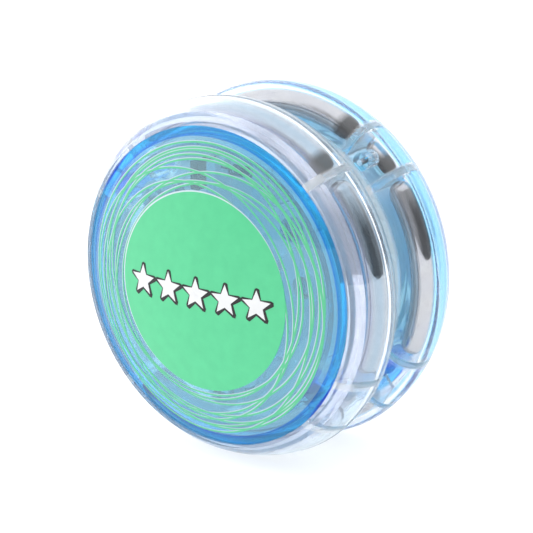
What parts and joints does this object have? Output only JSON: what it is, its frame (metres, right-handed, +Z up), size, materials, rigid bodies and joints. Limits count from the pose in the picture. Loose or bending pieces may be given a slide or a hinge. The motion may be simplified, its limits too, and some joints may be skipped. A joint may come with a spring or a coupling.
{
  "type": "yo-yo",
  "caption": "Round clutch yo-yo with clear rim shells, steel rim rods, blue domed lenses, a free-turning string spool and a spring-and-weight auto-return clutch.",
  "frame": {"origin": "on the axle in the middle of the string gap", "axes": "+Y along the axle towards the back half, +Z up, +X to the right when looking at the clutch half along +Y"},
  "size_m": [0.057, 0.0352, 0.057],
  "materials": {
    "clear_plastic": "water-clear moulded plastic, polished",
    "inner_plastic": "clear moulded plastic",
    "blue_lens": "transparent blue moulded plastic, polished",
    "label_print": "printed mint green with a thin white edge",
    "star_print": "printed white with a black outline",
    "rim_steel": "bright chromed steel",
    "fastener_steel": "zinc-plated steel",
    "spring_steel": "drawn spring wire",
    "spool_plastic": "natural white moulded plastic, satin",
    "bushing_brass": "turned brass",
    "bumper_rubber": "dull black rubber"
  },
  "bodies": {
    "front_half": {"front_shell": "clear_plastic", "front_rim_rod_1": "rim_steel", "front_rim_rod_2": "rim_steel", "front_rim_rod_3": "rim_steel", "front_rim_rod_4": "rim_steel", "clutch_carrier": "inner_plastic", "carrier_screws": "fastener_steel", "axle_bolt": "fastener_steel", "clutch_pivot_pin_left": "fastener_steel", "clutch_pivot_pin_right": "fastener_steel", "front_shim": "fastener_steel", "arm_stop_bumper": "bumper_rubber", "clutch_spring": "spring_steel"},
    "spool": {"string_spool": "spool_plastic", "spool_bushing": "bushing_brass"},
    "arm_left": {"clutch_arm_left": "inner_plastic", "weight_ball_left": "rim_steel"},
    "arm_right": {"clutch_arm_right": "inner_plastic", "weight_ball_right": "rim_steel"},
    "front_cap": {"front_lens": "blue_lens", "front_label": "label_print", "front_label_stars": "star_print"},
    "back_washer": {"back_shim": "fastener_steel"},
    "back_half": {"back_shell": "clear_plastic", "back_rim_rod_1": "rim_steel", "back_rim_rod_2": "rim_steel", "back_rim_rod_3": "rim_steel", "back_rim_rod_4": "rim_steel", "back_rim_slug_1": "rim_steel", "back_rim_slug_2": "rim_steel", "axle_nut": "fastener_steel"},
    "back_cap": {"back_lens": "blue_lens", "back_label": "label_print", "back_label_stars": "star_print"}
  },
  "joints": [
    {"name": "spool_spin", "type": "hinge", "parent": "front_half", "child": "spool", "pos_m": [0, 0, 0], "axis": [0, 1, 0], "continuous": true},
    {"name": "left_arm_swing", "type": "hinge", "parent": "front_half", "child": "arm_left", "pos_m": [-0.004, -0.0058, -0.0135], "axis": [0, 1, 0], "range_deg": [-2.5, 0], "stiffness_Nm_per_rad": 0.01, "springref_deg": 2.86},
    {"name": "right_arm_swing", "type": "hinge", "parent": "front_half", "child": "arm_right", "pos_m": [0.004, -0.0058, -0.0135], "axis": [0, 1, 0], "range_deg": [0, 2.5], "deforming": ["clutch_spring"]},
    {"name": "front_cap_pull", "type": "slide", "parent": "front_half", "child": "front_cap", "axis": [0, -1, 0], "range_m": [0, 0.015]},
    {"name": "back_half_shift", "type": "slide", "parent": "front_half", "child": "back_washer", "axis": [0, 1, 0], "range_m": [0, 0.00315]},
    {"name": "back_half_unscrew", "type": "hinge", "parent": "back_washer", "child": "back_half", "pos_m": [0, 0, 0], "axis": [0, 1, 0], "range_deg": [0, 1620]},
    {"name": "back_cap_pull", "type": "slide", "parent": "back_half", "child": "back_cap", "axis": [0, 1, 0], "range_m": [0, 0.015]}
  ],
  "couplings": [
    {"joint": "right_arm_swing", "follows": "left_arm_swing", "ratio": -1},
    {"joint": "back_half_shift", "follows": "back_half_unscrew", "m_per_rad": 0.00011141}
  ]
}
